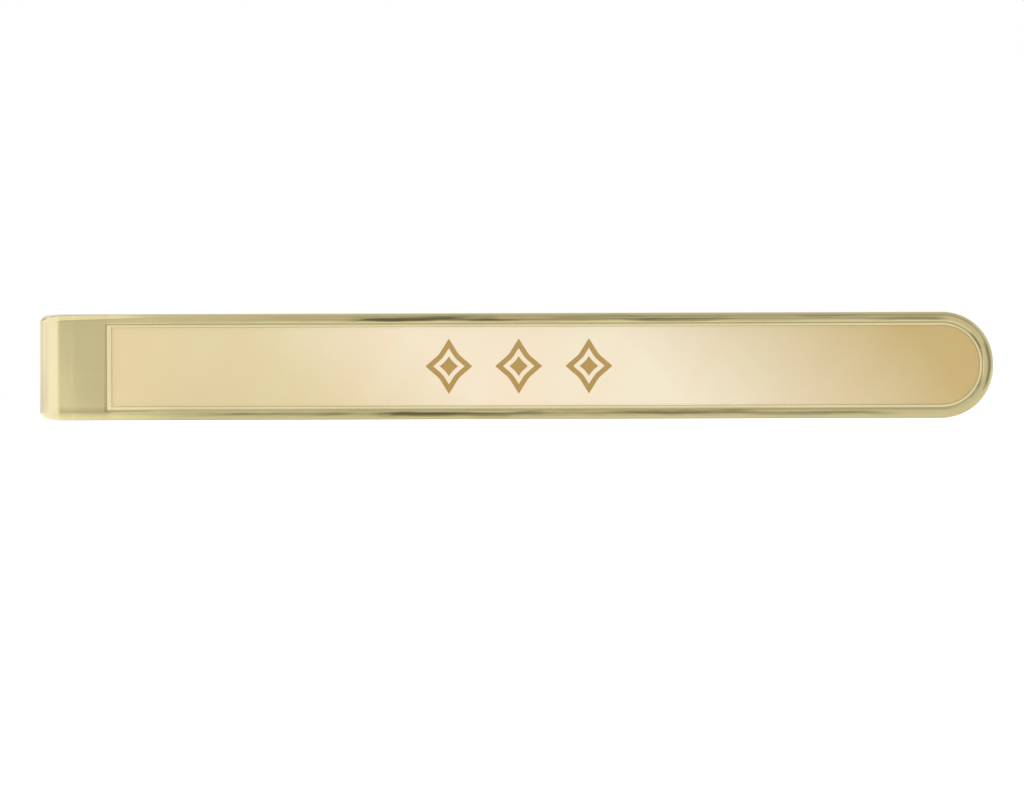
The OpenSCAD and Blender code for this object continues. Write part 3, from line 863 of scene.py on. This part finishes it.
PLATE_ROUNDING = 0.01
PLATE_SEGMENTS = 2
PLATE_FIT = 0.025
PLATE_CORNER_STEPS = 36
POCKET_DEPTH = 0.05
POCKET_FLOOR = 0.03
MARK_GROWTH = 0.004
MARK_HALF_HEIGHT = 1.65
MARK_HALF_WIDTH = 1.4
MARK_PLACES = (-3.98, 0.2, 4.4)
MARK_WAIST = 0.6
MARK_CURVE = 0.17
MARK_CURVE_SEGMENTS = 4
MARK_CORNERS = 8
MARK_LINE = 0.30
MARK_GAP = 0.26


def face_plate(satin, ochre):
    low, high = (corner - BAR_ORIGIN for corner in node_corners("face_plate"))
    fit = Vector((PLATE_FIT, 0, PLATE_FIT))
    low -= fit
    high += fit
    plate = start_block("face_plate_satin", low, high)
    pick("EDGE", lambda edge: ends_at(edge, 0, high.x) and near(middle(edge).y, (low.y + high.y) / 2))
    bevel(high.z - END_FLAT / 2, PLATE_CORNER_STEPS)
    pick("EDGE", lambda edge: ends_at(edge, 1, low.y))
    bevel(PLATE_ROUNDING, PLATE_SEGMENTS)

    cut_away(plate, engraved_marks("pocket_cutter", low.y - POCKET_DEPTH, low.y + POCKET_DEPTH, 0))
    marks = engraved_marks(
        "engraved_marks", low.y + POCKET_FLOOR, low.y + POCKET_DEPTH * 2, MARK_GROWTH)
    finish_piece(plate, BAR_ORIGIN, "bar", "face_plate", satin)
    finish_piece(marks, BAR_ORIGIN, "bar", None, ochre)


def engraved_marks(name, front, back, grow):
    """Three plain ornaments, each a lozenge with hollowed sides round a small one."""
    deselect_everything()
    bpy.ops.mesh.primitive_circle_add(
        vertices=MARK_CORNERS, radius=1, fill_type="NGON", location=(0, front, 0),
        rotation=(math.radians(90), 0, 0))
    marks = open_for_editing(name, (MARK_HALF_WIDTH + grow, MARK_HALF_HEIGHT + grow, 1))
    pick("VERT", lambda corner: not near(corner.co.x, 0) and not near(corner.co.z, 0))
    scale(MARK_WAIST, 1, MARK_WAIST, about=(0, front, 0))
    bpy.ops.mesh.bevel(affect="VERTICES", offset=MARK_CURVE, segments=MARK_CURVE_SEGMENTS)
    pick("FACE", lambda face: True)
    bpy.ops.mesh.inset(thickness=MARK_LINE + 2 * grow)
    bpy.ops.mesh.inset(thickness=MARK_GAP - 2 * grow)
    pick("FACE", lambda face: len(face.verts) == 4
         and all(len(edge.link_faces) == 2 for edge in face.edges))
    bpy.ops.mesh.delete(type="FACE")
    pick_everything()
    extrude(y=back - front)
    face_outwards()

    marks.location.x = MARK_PLACES[0]
    copies = [marks]
    for place in MARK_PLACES[1:]:
        only(marks)
        bpy.ops.object.duplicate()
        copies.append(bpy.context.object)
        copies[-1].location.x = place
    only(marks)
    for copy in copies:
        copy.select_set(True)
    bpy.ops.object.join()
    apply_transform()
    return marks


# Hinge bracket and pin, about the pin

SHEET_THICKNESS = 0.4
EAR_RADIUS = 1.1
EAR_STEPS = 12
FOOT_FOLD_RADIUS = 0.32
PIN_RADIUS = 0.5
PIN_HEAD_RADIUS = 0.85
PIN_HEAD_RIM = 0.06
PIN_SIDES = 48
DOME_STEPS = 8

BRACKET_LOW, BRACKET_HIGH = (corner - PIN_ORIGIN for corner in node_corners("hinge_bracket"))


def hinge_bracket(gold):
    foot_top = BRACKET_LOW.y + SHEET_THICKNESS
    bracket = start_block(
        "hinge_bracket_stamped", BRACKET_LOW, (BRACKET_HIGH.x, foot_top, BRACKET_HIGH.z))
    ear_inside = BRACKET_HIGH.z - SHEET_THICKNESS
    for side in (-1, 1):
        add_cross_line((0, 0, side * ear_inside), UPWARD)

    # both ears rise together, taper to the pin and end in a half round
    pick("FACE", lambda face: face.normal.y > FACING and abs(middle(face).z) > ear_inside)
    extrude(y=-foot_top)
    scale(x=EAR_RADIUS / BRACKET_HIGH.x)
    round_off(Vector(BACKWARD), EAR_RADIUS, EAR_STEPS, "x")

    pick("EDGE", lambda edge: ends_at(edge, 1, BRACKET_LOW.y)
         and abs(middle(edge).z) > ear_inside and not near(edge.verts[0].co.x, edge.verts[1].co.x))
    bevel(FOOT_FOLD_RADIUS, FOLD_SEGMENTS)
    round_edges(bracket)
    finish_piece(bracket, PIN_ORIGIN, "bar", "hinge_bracket", gold)


def hinge_pin(gold):
    half_length = BRACKET_HIGH.z
    pin = start_cylinder("hinge_pin_riveted", PIN_RADIUS, 2 * half_length, PIN_SIDES)
    dome = PIN_HIGH.z - PIN_ORIGIN.z - half_length - PIN_HEAD_RIM
    for side in (-1, 1):
        pick("FACE", lambda face: face.normal.z * side > FACING and middle(face).z * side > 0)
        extrude()
        scale(x=PIN_HEAD_RADIUS / PIN_RADIUS, y=PIN_HEAD_RADIUS / PIN_RADIUS)
        extrude(z=side * PIN_HEAD_RIM)
        round_off(side * Vector(UPWARD), dome, DOME_STEPS, "xy")
    finish_piece(pin, PIN_ORIGIN, "bar", "hinge_pin", gold)


# Jaw, about the pin

JAW_LOW, JAW_HIGH = (corner - PIN_ORIGIN for corner in node_corners("jaw_arm"))
CHEEK_RADIUS = 1.25
CHEEK_STEPS = 6
HINGE_HALF_WIDTH = 2.0
LEVER_HALF_WIDTH = 2.6
LEVER_RISE = 1.5
NECK_START = -3.3
NECK_END = -2.1
NECK_STEPS = 8
SHOULDER = 1.25
FLANGE_DROP = 2.65
UNTRIMMED_FLANGE = 1
TOE_LENGTH = 8.0
TOE_DEPTH = 1.3
TOE_HALF_WIDTH = 1.4
LEAD_IN_LENGTH = 1.4
LEAD_IN_RISE = 0.55
TOOTH_PITCH = 0.95
TOOTH_DEPTH = 0.5
TOOTH_COUNT = 6
TIP_STEPS = 12
NOSE_STEPS = 8
NOSE_SIDES = 96
NOSE_SLACK = 0.02
NOSE_FLANGE = 0.62
NOSE_SLOPE = 2.0
FOLD_RADIUS = 0.45
FOLD_END = (-2.2, -0.9)
FOLD_END_DEPTH = 1
MERGE_DISTANCE = 0.01
PIN_HOLE_RADIUS = 0.53
CUTTER_MARGIN = 1
CUTTER_HALF_WIDTH = 3
CUTTER_LENGTH = 12

KNEE = JAW_HIGH.x - TOE_LENGTH
LEAD_IN = JAW_HIGH.x - LEAD_IN_LENGTH
WEB_BACK = JAW_HIGH.y - LEVER_RISE
TOOTH_LINE = JAW_LOW.y
TOE_BACK = TOOTH_LINE + TOE_DEPTH
LEVER_SLOPE = LEVER_RISE / -JAW_LOW.x
TEETH_START = LEAD_IN - TOOTH_COUNT * TOOTH_PITCH

# How far each bend of the jaw's back is rounded to both sides
BEND_ROUNDINGS = ((0, 0.42), (SHOULDER, 0.65), (KNEE, 1.1), (LEAD_IN, 0.18))


def jaw_arm(gold):
    # the back of the jaw as a sheet, from the shoulder both ways
    jaw = start_sheet("jaw_arm_stamped", SHOULDER, KNEE, WEB_BACK, HINGE_HALF_WIDTH)
    pick("EDGE", lambda edge: ends_at(edge, 0, KNEE))
    shift(y=TOE_BACK - WEB_BACK)
    scale(z=TOE_HALF_WIDTH / HINGE_HALF_WIDTH)
    extrude(x=LEAD_IN - KNEE)
    extrude(x=LEAD_IN_LENGTH, y=LEAD_IN_RISE)
    pick("EDGE", lambda edge: ends_at(edge, 0, SHOULDER))
    extrude(x=-SHOULDER)
    extrude(x=NECK_END, y=-NECK_END * LEVER_SLOPE)
    widen_to_lever()
    straight = JAW_LOW.x + LEVER_HALF_WIDTH - NECK_START
    extrude(x=straight, y=-straight * LEVER_SLOPE)
    round_off(Vector((-1, LEVER_SLOPE, 0)), LEVER_HALF_WIDTH, TIP_STEPS, "z")
    for place, offset in BEND_ROUNDINGS:
        pick("EDGE", lambda edge: ends_at(edge, 0, place) and len(edge.link_faces) == 2)
        bevel(offset, FOLD_SEGMENTS)

    # cross lines where the edge of the flanges turns, then the flanges
    places = [-CHEEK_RADIUS * math.cos(math.radians(90 * i / CHEEK_STEPS))
              for i in range(CHEEK_STEPS + 1)] + [FLANGE_DROP]
    places += [TEETH_START + TOOTH_PITCH * i / 2 for i in range(2 * TOOTH_COUNT)]
    places += [LEAD_IN + LEAD_IN_LENGTH * i / NOSE_STEPS for i in range(2, NOSE_STEPS)]
    for place in places:
        add_cross_line((place, 0, 0), RIGHTWARD)
    pick("EDGE", lambda edge: len(edge.link_faces) == 1 and not ends_at(edge, 0, JAW_HIGH.x)
         and all(between(corner.co.x, -CHEEK_RADIUS, JAW_HIGH.x) for corner in edge.verts))
    extrude(y=-UNTRIMMED_FLANGE)
    trim_flanges()

    # the folds, then the thickness, on the inside of a sheet that faces the back
    pick("EDGE", is_fold)
    bevel(FOLD_RADIUS, FOLD_SEGMENTS)
    face_outwards()
    shape = bmesh.from_edit_mesh(jaw.data)
    if min(face.normal.y for face in shape.faces) < -WALL:
        bpy.ops.mesh.flip_normals()
    apply_modifier(jaw, "SOLIDIFY", thickness=SHEET_THICKNESS, offset=-1, use_even_offset=True)

    hole = start_cylinder("pin_hole", PIN_HOLE_RADIUS, 2 * BRACKET_HIGH.z, PIN_SIDES)
    cut_away(jaw, hole)
    round_nose(jaw)
    round_jaw_edges(jaw)
    finish_piece(jaw, PIN_ORIGIN, "jaw", "jaw_arm", gold)


def widen_to_lever():
    """Extrudes the selected end of the sheet along the S-curved neck of the lever."""
    half_width = HINGE_HALF_WIDTH
    run = (NECK_START - NECK_END) / NECK_STEPS
    for step in range(1, NECK_STEPS + 1):
        share = step / NECK_STEPS
        reached = HINGE_HALF_WIDTH + (LEVER_HALF_WIDTH - HINGE_HALF_WIDTH) * share ** 2 * (3 - 2 * share)
        extrude(x=run, y=-run * LEVER_SLOPE)
        scale(z=reached / half_width)
        half_width = reached


def round_nose(jaw):
    """Cuts the end of the toe to a half round, seen from the back."""
    radius = TOE_HALF_WIDTH + NOSE_SLACK
    start = JAW_HIGH.x - radius
    waste = start_block(
        "nose_waste", (start, JAW_LOW.y - CUTTER_MARGIN, -CUTTER_HALF_WIDTH),
        (JAW_HIGH.x + CUTTER_MARGIN, WEB_BACK + CUTTER_MARGIN, CUTTER_HALF_WIDTH))
    disc = start_cylinder("nose_disc", radius, CUTTER_LENGTH, NOSE_SIDES)
    pick_everything()
    bpy.ops.transform.rotate(value=math.radians(90), orient_axis="X", center_override=(0, 0, 0))
    shift(x=start)
    cut_away(waste, disc)
    cut_away(jaw, waste)


def round_jaw_edges(jaw):
    """Rounds the jaw's sharp edges, except where the folds run out into the lever's neck."""
    def at_fold_end(place):
        return between(place.x, *FOLD_END) and place.y > FOLD_END_DEPTH

    only(jaw)
    bpy.ops.object.mode_set(mode="EDIT")
    pick_everything()
    bpy.ops.mesh.remove_doubles(threshold=MERGE_DISTANCE)
    pick("EDGE", lambda edge: edge.calc_face_angle(0) > SHARP_ANGLE
         and not at_fold_end(middle(edge)))
    bevel(EDGE_ROUNDING, EDGE_SEGMENTS, clamp=True)


def is_fold(edge):
    return len(edge.link_faces) == 2 and is_wall(edge.link_faces[0]) != is_wall(edge.link_faces[1])


def flange_edge_at(x):
    """How far the flanges reach towards the bar at a place along the jaw."""
    if x < 0:
        return -math.sqrt(max(CHEEK_RADIUS ** 2 - x ** 2, 0))
    if x < FLANGE_DROP:
        return -CHEEK_RADIUS
    if x < KNEE:
        share = (x - FLANGE_DROP) / (KNEE - FLANGE_DROP)
        return -CHEEK_RADIUS + share * (TOOTH_LINE + CHEEK_RADIUS)
    if x > LEAD_IN:
        past = x - LEAD_IN
        height = max(TOE_DEPTH - past * NOSE_SLOPE, NOSE_FLANGE)
        return TOE_BACK + LEAD_IN_RISE * past / LEAD_IN_LENGTH - height
    if x < TEETH_START:
        return TOOTH_LINE
    into_tooth = (x - TEETH_START) / TOOTH_PITCH % 1
    return TOOTH_LINE + TOOTH_DEPTH * (1 - abs(2 * into_tooth - 1))


def trim_flanges():
    """Moves the free edge of the flanges to its line, one cross line at a time."""
    def on_free_edge(corner):
        return all(is_wall(face) for face in corner.link_faces)

    shape = bmesh.from_edit_mesh(bpy.context.edit_object.data)
    places = sorted({round(c.co.x, 4) for c in shape.verts if on_free_edge(c)})
    for place in places:
        found = pick("VERT", lambda corner: near(corner.co.x, place, FINE_SLACK)
                     and on_free_edge(corner))
        shift(y=flange_edge_at(place) - found[0].co.y)


# Torsion spring, about the pin

WIRE_RADIUS = 0.175
WIRE_SIDES = 14
COIL_RADIUS = 0.815
COIL_HALF_LENGTH = 1.325
COIL_TURNS = 3
RINGS_PER_TURN = 40
LEG_REACH = 5.2
LEG_GAP = 0.04
LEG_TIP = 0.06
LEG_TIP_SHARE = 0.7
FULL_TURN = math.radians(360)

LEVER_INSIDE = WEB_BACK + LEVER_SLOPE * LEG_REACH - SHEET_THICKNESS * math.hypot(1, LEVER_SLOPE)
LEG_ON_RETURN = Vector((-LEG_REACH, BRACKET_LOW.y + LEG_GAP + WIRE_RADIUS, 0))
LEG_ON_LEVER = Vector((-LEG_REACH, LEVER_INSIDE - LEG_GAP - WIRE_RADIUS, 0))


def tangent_angle(tip, side):
    """Angle on the coil at which a straight leg to a tip leaves it."""
    return math.atan2(tip.y, tip.x) + side * math.acos(COIL_RADIUS / tip.length)


def torsion_spring(steel):
    coil_start = tangent_angle(LEG_ON_RETURN, 1)
    coil_end = tangent_angle(LEG_ON_LEVER, -1) + FULL_TURN * COIL_TURNS
    rings = round((coil_end - coil_start) / FULL_TURN * RINGS_PER_TURN)

    deselect_everything()
    bpy.ops.mesh.primitive_circle_add(
        vertices=WIRE_SIDES, radius=WIRE_RADIUS,
        location=(COIL_RADIUS, 0, -COIL_HALF_LENGTH), rotation=(math.radians(90), 0, 0))
    spring = bpy.context.object
    spring.name = "torsion_spring_wound"
    apply_transform()
    spring.rotation_euler.z = coil_start
    apply_transform()
    apply_modifier(spring, "SCREW", axis="Z", angle=coil_end - coil_start, steps=rings,
                   render_steps=rings, screw_offset=2 * COIL_HALF_LENGTH)

    # straight legs out of the coil's two open ends, each closed with a small round
    bpy.ops.object.mode_set(mode="EDIT")
    for side, angle, tip in ((-1, coil_start, LEG_ON_RETURN), (1, coil_end, LEG_ON_LEVER)):
        run = tip - COIL_RADIUS * Vector((math.cos(angle), math.sin(angle), 0))
        ahead = run.normalized()
        pick("EDGE", lambda edge: len(edge.link_faces) == 1 and middle(edge).z * side > 0)
        extrude(*(run - ahead * LEG_TIP))
        extrude(*(ahead * LEG_TIP))
        scale(LEG_TIP_SHARE, LEG_TIP_SHARE, LEG_TIP_SHARE,
              about=tip + Vector((0, 0, side * COIL_HALF_LENGTH)))
        bpy.ops.mesh.edge_face_add()
    face_outwards()

    finish_piece(spring, PIN_ORIGIN, None, "torsion_spring", steel)
    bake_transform(spring)


# Stage, in metres: floor, white room, two soft boxes, and cards that only mirrors see

FLOOR_WHITE = 0.9
FLOOR_GLOW = 0.3
ROOM_LIGHT = 0.8
PAPER_CARD = 0.97
NEAR_CARD = 1.1
REAR_CARD = 1.3
GREY_CARD = 0.85
DARK_CARD = 0.65
BRIGHT_CARD = 1.6
FLOOR_SIDES = 96
FLOOR_RADIUS = 6

# The card before the bar's left end is bright, and fades to the next in steps
BRIGHT_END_X = -0.0262
FADE_STEPS = 8
FADE_STEP = 0.0007

# Heights of the cards that lie on the floor, close to the bar and farther out
NEAR_LAY = 0.00003
FAR_LAY = 0.0002

# Front and back edges of the cards that lie close before the bar
NEAR_FRONT_Y = -0.03
NEAR_BACK_Y = -0.0045

CARDS = (
    ("front_paper", PAPER_CARD, (-0.03, -0.45, FAR_LAY), (0.75, NEAR_FRONT_Y, FAR_LAY)),
    ("near_paper", NEAR_CARD, (-0.0206, NEAR_FRONT_Y, NEAR_LAY), (0.04, NEAR_BACK_Y, NEAR_LAY)),
    ("rear_paper", PAPER_CARD, (-0.5, 0.0062, FAR_LAY), (0.5, 0.45, FAR_LAY)),
    ("rear_panel", REAR_CARD, (-0.7, 0.35, 0.0005), (-0.1, 0.35, 0.4)),
    ("front_shade", DARK_CARD, (-0.02, -0.44, 0.06), (0.4, -0.44, 0.5)),
    ("top_shade", GREY_CARD, (-0.03, -0.5, 0.5), (0.45, 0.15, 0.5)),
    ("end_panel", BRIGHT_CARD, (-0.3, -0.1, 0.06), (BRIGHT_END_X, 0.02, 0.06)),
    ("end_paper", BRIGHT_CARD, (-0.3, -0.1, NEAR_LAY), (BRIGHT_END_X, -0.001, NEAR_LAY)),
)


def for_camera_and_mirrors(nodes, links):
    """One for rays from the camera, and for those that metal or glass sends on."""
    path = nodes.new("ShaderNodeLightPath")
    seen = path.outputs["Is Camera Ray"]
    for kind in ("Is Glossy Ray", "Is Transmission Ray"):
        either = nodes.new("ShaderNodeMath")
        either.operation = "MAXIMUM"
        links.new(seen, either.inputs[0])
        links.new(path.outputs[kind], either.inputs[1])
        seen = either.outputs[0]
    return seen


def add_floor():
    deselect_everything()
    bpy.ops.mesh.primitive_circle_add(vertices=FLOOR_SIDES, radius=FLOOR_RADIUS, fill_type="NGON")
    floor = bpy.context.object
    floor.name = "floor"
    paper = bpy.data.materials.new("white_paper")
    paper.use_nodes = True
    nodes, links = paper.node_tree.nodes, paper.node_tree.links
    shader = nodes["Principled BSDF"]
    shader.inputs["Base Color"].default_value = (FLOOR_WHITE, FLOOR_WHITE, FLOOR_WHITE, 1)
    shader.inputs["Roughness"].default_value = 1
    shader.inputs["Specular IOR Level"].default_value = 0
    shader.inputs["Emission Color"].default_value = (1, 1, 1, 1)
    glow = nodes.new("ShaderNodeMath")
    glow.operation = "MULTIPLY"
    glow.inputs[1].default_value = FLOOR_GLOW
    links.new(for_camera_and_mirrors(nodes, links), glow.inputs[0])
    links.new(glow.outputs[0], shader.inputs["Emission Strength"])
    floor.data.materials.append(paper)


def add_card(name, level, low, high):
    """A flat or an upright card between two corners, seen only in what metal mirrors."""
    deselect_everything()
    low, high = Vector(low), Vector(high)
    upright = low.y == high.y
    turn = (math.radians(90), 0, 0) if upright else (0, 0, 0)
    bpy.ops.mesh.primitive_plane_add(size=1, location=(low + high) / 2, rotation=turn)
    card = bpy.context.object
    card.name = name
    width, depth, height = high - low
    card.scale = (width, height if upright else depth, 1)
    paper = bpy.data.materials.new(name)
    paper.use_nodes = True
    nodes, links = paper.node_tree.nodes, paper.node_tree.links
    nodes.remove(nodes["Principled BSDF"])
    tone = nodes.new("ShaderNodeEmission")
    tone.inputs["Color"].default_value = (level, level, level, 1)
    links.new(tone.outputs["Emission"], nodes["Material Output"].inputs["Surface"])
    card.data.materials.append(paper)
    card.visible_camera = False
    card.visible_diffuse = False
    card.visible_shadow = False
    card.visible_transmission = False


def add_fading_cards():
    for step in range(FADE_STEPS):
        start = BRIGHT_END_X + FADE_STEP * step
        level = BRIGHT_CARD + (NEAR_CARD - BRIGHT_CARD) * (step + 1) / (FADE_STEPS + 1)
        add_card(f"fading_paper_{step}", level,
                 (start, NEAR_FRONT_Y, NEAR_LAY), (start + FADE_STEP, NEAR_BACK_Y, NEAR_LAY))


def add_world():
    world = bpy.data.worlds.new("white_room")
    bpy.context.scene.world = world
    world.use_nodes = True
    nodes, links = world.node_tree.nodes, world.node_tree.links
    level = nodes.new("ShaderNodeMapRange")
    level.inputs["To Min"].default_value = ROOM_LIGHT
    links.new(for_camera_and_mirrors(nodes, links), level.inputs["Value"])
    links.new(level.outputs["Result"], nodes["Background"].inputs["Strength"])
    nodes["Background"].inputs["Color"].default_value = (1, 1, 1, 1)


def add_soft_box(name, place, width, height, level, mirrored):
    """A soft box aimed at the clip; its level is the brightness that a mirror shows."""
    bpy.ops.object.light_add(type="AREA", location=place)
    lamp = bpy.context.object
    lamp.name = name
    lamp.data.shape = "RECTANGLE"
    lamp.data.size = width
    lamp.data.size_y = height
    lamp.data.energy = level * math.pi * width * height
    lamp.rotation_euler = (-lamp.location).to_track_quat("-Z", "Y").to_euler()
    lamp.visible_camera = False
    lamp.visible_glossy = mirrored


add_camera()
bpy.context.scene.view_settings.view_transform = "Standard"

stamped = stamped_gold()
front_bar(polished_gold())
face_plate(satin_plate(), engraved_floor())
hinge_bracket(stamped)
hinge_pin(stamped)
jaw_arm(stamped)
torsion_spring(drawn_wire())

add_floor()
for card in CARDS:
    add_card(*card)
add_fading_cards()
add_world()
add_soft_box("left_soft_box", (-0.5, -0.017, 0.2), width=0.78, height=0.5, level=0.62, mirrored=True)
add_soft_box("top_soft_box", (-0.15, -0.1, 0.45), width=0.4, height=0.3, level=2.0, mirrored=False)
